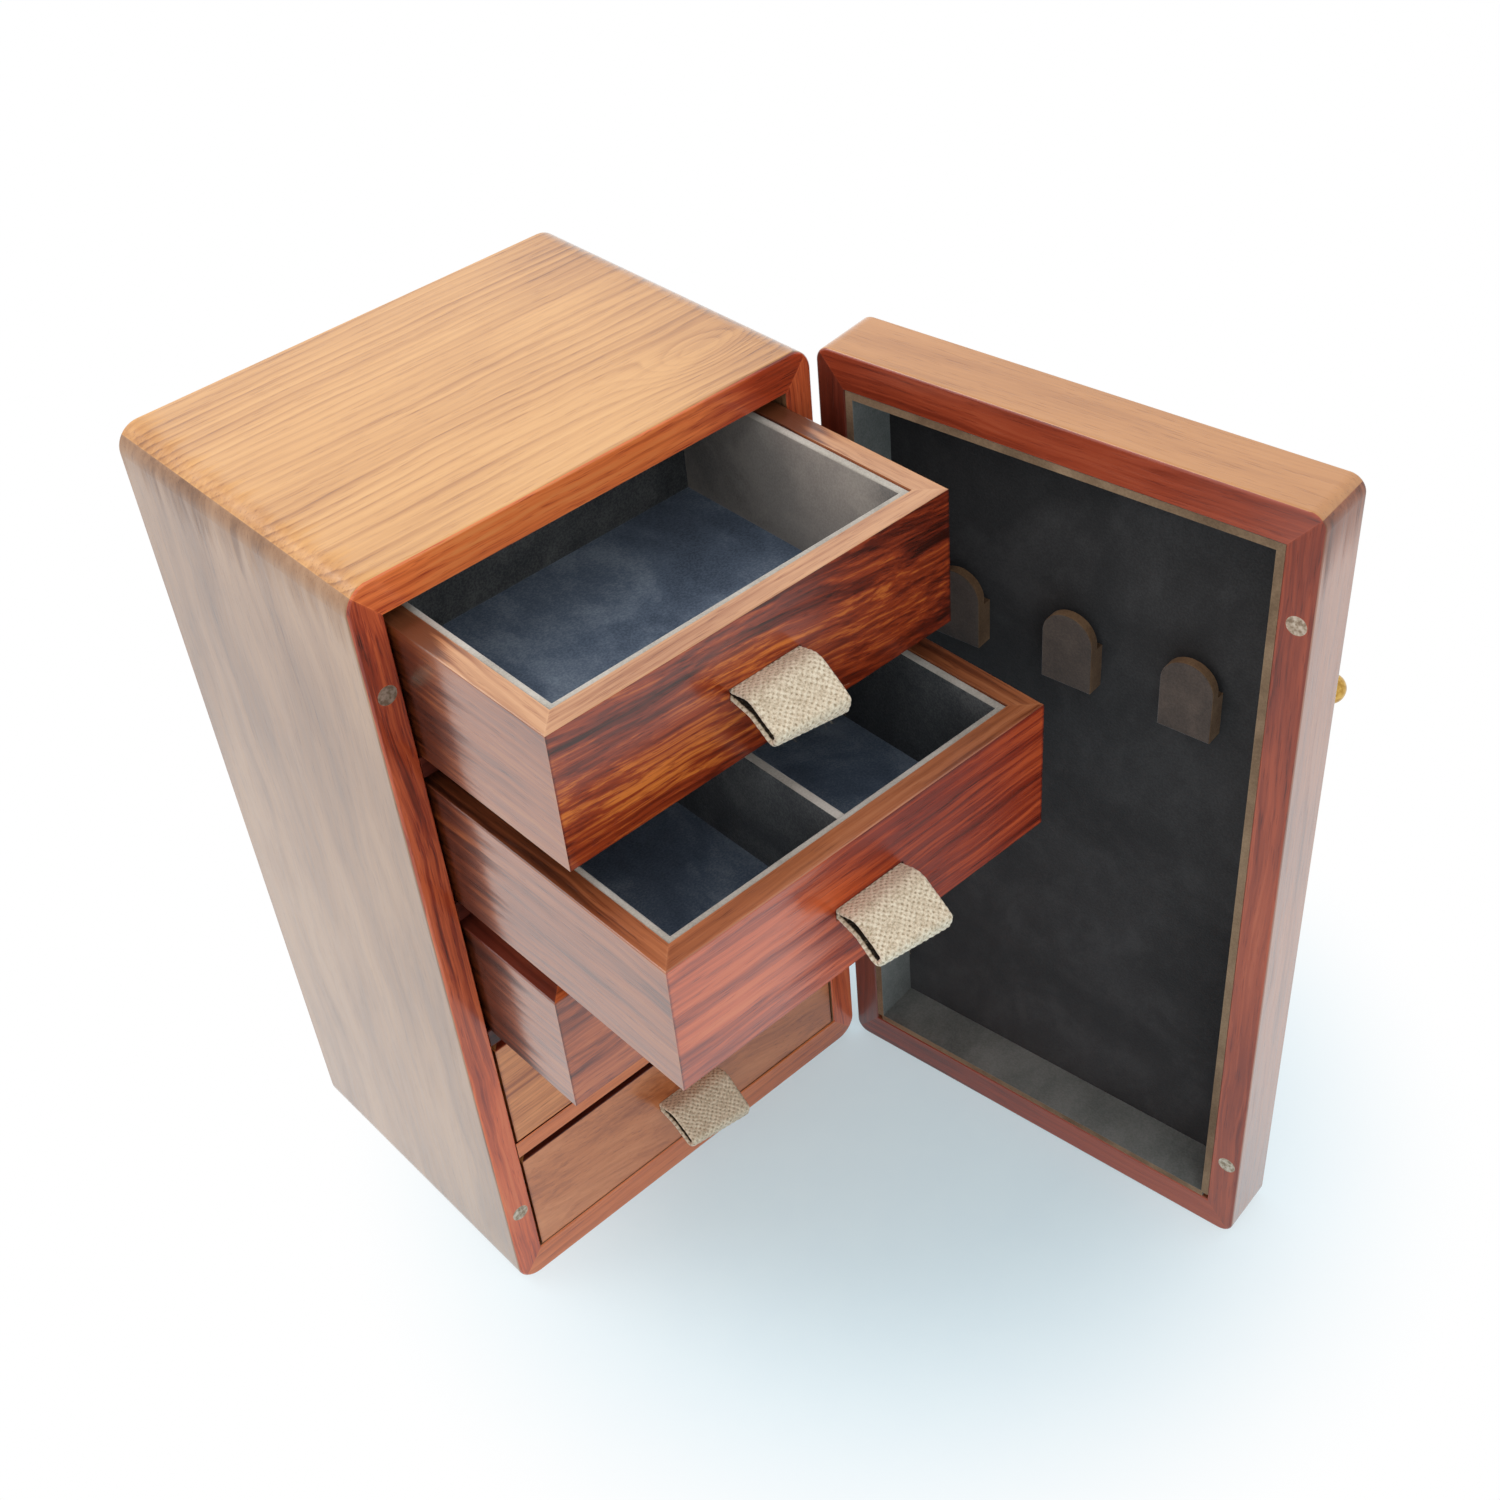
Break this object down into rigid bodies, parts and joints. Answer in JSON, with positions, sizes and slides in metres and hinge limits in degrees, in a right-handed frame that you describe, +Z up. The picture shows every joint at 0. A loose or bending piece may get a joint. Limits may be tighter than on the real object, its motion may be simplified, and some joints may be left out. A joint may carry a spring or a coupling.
{
  "type": "jewelry box",
  "caption": "Upright wooden jewelry box with lined sliding drawers on woven pull loops, behind a deep hinged door that holds necklace hooks and closes on magnets.",
  "frame": {"origin": "middle of the cabinet's underside, where it rests", "axes": "+X from left to right across the cabinet's front, +Y from the front to the back, +Z up"},
  "size_m": [0.2167, 0.2762, 0.295],
  "materials": {
    "case_wood": "satin lacquered red-brown hardwood, straight grain",
    "drawer_wood": "satin lacquered figured hardwood",
    "drawer_base_board": "matte thin board",
    "suede_lining": "matte charcoal suede over board",
    "woven_webbing": "coarse woven natural fibre",
    "magnet_plating": "plated disc, satin",
    "hinge_brass": "satin brass",
    "knob_brass": "polished brass"
  },
  "bodies": {
    "cabinet": {"cabinet_top": "case_wood", "cabinet_bottom": "case_wood", "cabinet_left_side": "case_wood", "cabinet_right_side": "case_wood", "cabinet_back": "case_wood", "cabinet_magnets": "magnet_plating", "cabinet_hinge_leaves": "hinge_brass", "cabinet_hinge_screws": "hinge_brass", "hinge_pins": "hinge_brass", "drawer_shelf_1": "case_wood", "drawer_shelf_2": "case_wood", "drawer_shelf_3": "case_wood", "drawer_shelf_4": "case_wood"},
    "door": {"door_top_rail": "case_wood", "door_bottom_rail": "case_wood", "door_latch_stile": "case_wood", "door_hinge_stile": "case_wood", "door_panel": "case_wood", "door_lining": "suede_lining", "door_lining_strips": "suede_lining", "hook_plates": "suede_lining", "hook_spacers": "suede_lining", "door_magnets": "magnet_plating", "door_hinge_leaves": "hinge_brass", "door_hinge_screws": "hinge_brass", "door_knob": "knob_brass", "door_knob_stud": "knob_brass"},
    "drawer_1": {"drawer_1_front": "drawer_wood", "drawer_1_sides": "drawer_wood", "drawer_1_back": "drawer_wood", "drawer_1_bottom": "drawer_base_board", "drawer_1_lining": "suede_lining", "drawer_1_pull": "woven_webbing"},
    "drawer_2": {"drawer_2_front": "drawer_wood", "drawer_2_sides": "drawer_wood", "drawer_2_back": "drawer_wood", "drawer_2_bottom": "drawer_base_board", "drawer_2_lining": "suede_lining", "drawer_2_pull": "woven_webbing", "drawer_2_divider": "suede_lining"},
    "drawer_3": {"drawer_3_front": "drawer_wood", "drawer_3_sides": "drawer_wood", "drawer_3_back": "drawer_wood", "drawer_3_bottom": "drawer_base_board", "drawer_3_lining": "suede_lining", "drawer_3_pull": "woven_webbing"},
    "drawer_4": {"drawer_4_front": "drawer_wood", "drawer_4_sides": "drawer_wood", "drawer_4_back": "drawer_wood", "drawer_4_bottom": "drawer_base_board", "drawer_4_lining": "suede_lining", "drawer_4_pull": "woven_webbing"},
    "drawer_5": {"drawer_5_front": "drawer_wood", "drawer_5_sides": "drawer_wood", "drawer_5_back": "drawer_wood", "drawer_5_bottom": "drawer_base_board", "drawer_5_lining": "suede_lining", "drawer_5_pull": "woven_webbing"}
  },
  "joints": [
    {"name": "door_hinge", "type": "hinge", "parent": "cabinet", "child": "door", "pos_m": [0.0805, -0.0595, 0.06], "axis": [0, 0, 1], "range_deg": [-22, 82]},
    {"name": "drawer_1_slide", "type": "slide", "parent": "cabinet", "child": "drawer_1", "axis": [0, -1, 0], "range_m": [-0.065, 0.039]},
    {"name": "drawer_2_slide", "type": "slide", "parent": "cabinet", "child": "drawer_2", "axis": [0, -1, 0], "range_m": [-0.1, 0.004]},
    {"name": "drawer_3_slide", "type": "slide", "parent": "cabinet", "child": "drawer_3", "axis": [0, -1, 0], "range_m": [-0.043, 0.061]},
    {"name": "drawer_4_slide", "type": "slide", "parent": "cabinet", "child": "drawer_4", "axis": [0, -1, 0], "range_m": [0, 0.104]},
    {"name": "drawer_5_slide", "type": "slide", "parent": "cabinet", "child": "drawer_5", "axis": [0, -1, 0], "range_m": [0, 0.104]}
  ]
}
